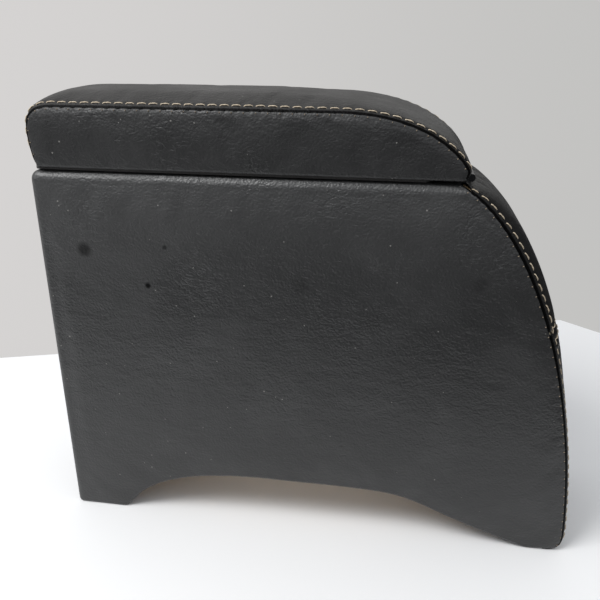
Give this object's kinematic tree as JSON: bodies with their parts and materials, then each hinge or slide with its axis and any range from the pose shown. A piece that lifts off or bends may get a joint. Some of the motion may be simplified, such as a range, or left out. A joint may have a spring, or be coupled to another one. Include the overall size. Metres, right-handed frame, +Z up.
{
  "type": "car centre armrest",
  "caption": "Leatherette-wrapped plywood console armrest: storage box on a tunnel arch, with a padded, topstitched lid hinged at its curved, padded rear.",
  "frame": {"origin": "on the table under the middle of its length and width", "axes": "+X to the rear (hinge end), +Y to its right side, +Z up"},
  "size_m": [0.3336, 0.096, 0.2772],
  "materials": {
    "plywood": "raw birch plywood",
    "foam": "open-cell foam padding",
    "leatherette": "black fine-grained leatherette with beige topstitching",
    "felt": "black felt",
    "steel": "zinc-plated steel",
    "fibreboard": "black hardboard"
  },
  "bodies": {
    "box": {"side_board_left": "plywood", "side_board_right": "plywood", "front_board": "plywood", "rear_board": "plywood", "floor_board": "plywood", "floor_batten_left": "plywood", "floor_batten_right": "plywood", "corner_block_front_left": "plywood", "corner_block_front_right": "plywood", "corner_block_rear_left": "plywood", "corner_block_rear_right": "plywood", "hinge_rail": "plywood", "side_foam_left": "foam", "side_foam_right": "foam", "front_foam": "foam", "rear_foam_upper": "foam", "rear_foam_lower": "foam", "body_cover": "leatherette", "rear_cover_upper": "leatherette", "rear_cover_lower": "leatherette", "box_liner": "felt", "floor_mat": "felt", "hinge_leaf_body": "steel", "hinge_pin": "steel", "hinge_screws_body": "steel"},
    "lid": {"hinge_leaf_lid": "steel", "hinge_screws_lid": "steel", "lid_board": "plywood", "lid_foam": "foam", "lid_cover_top": "leatherette", "lid_cover_left": "leatherette", "lid_cover_right": "leatherette", "lid_lining": "fibreboard"}
  },
  "joints": [
    {"name": "lid_hinge", "type": "hinge", "parent": "box", "child": "lid", "pos_m": [0.085, 0, 0.236], "axis": [0, 1, 0], "range_deg": [0, 95]}
  ]
}
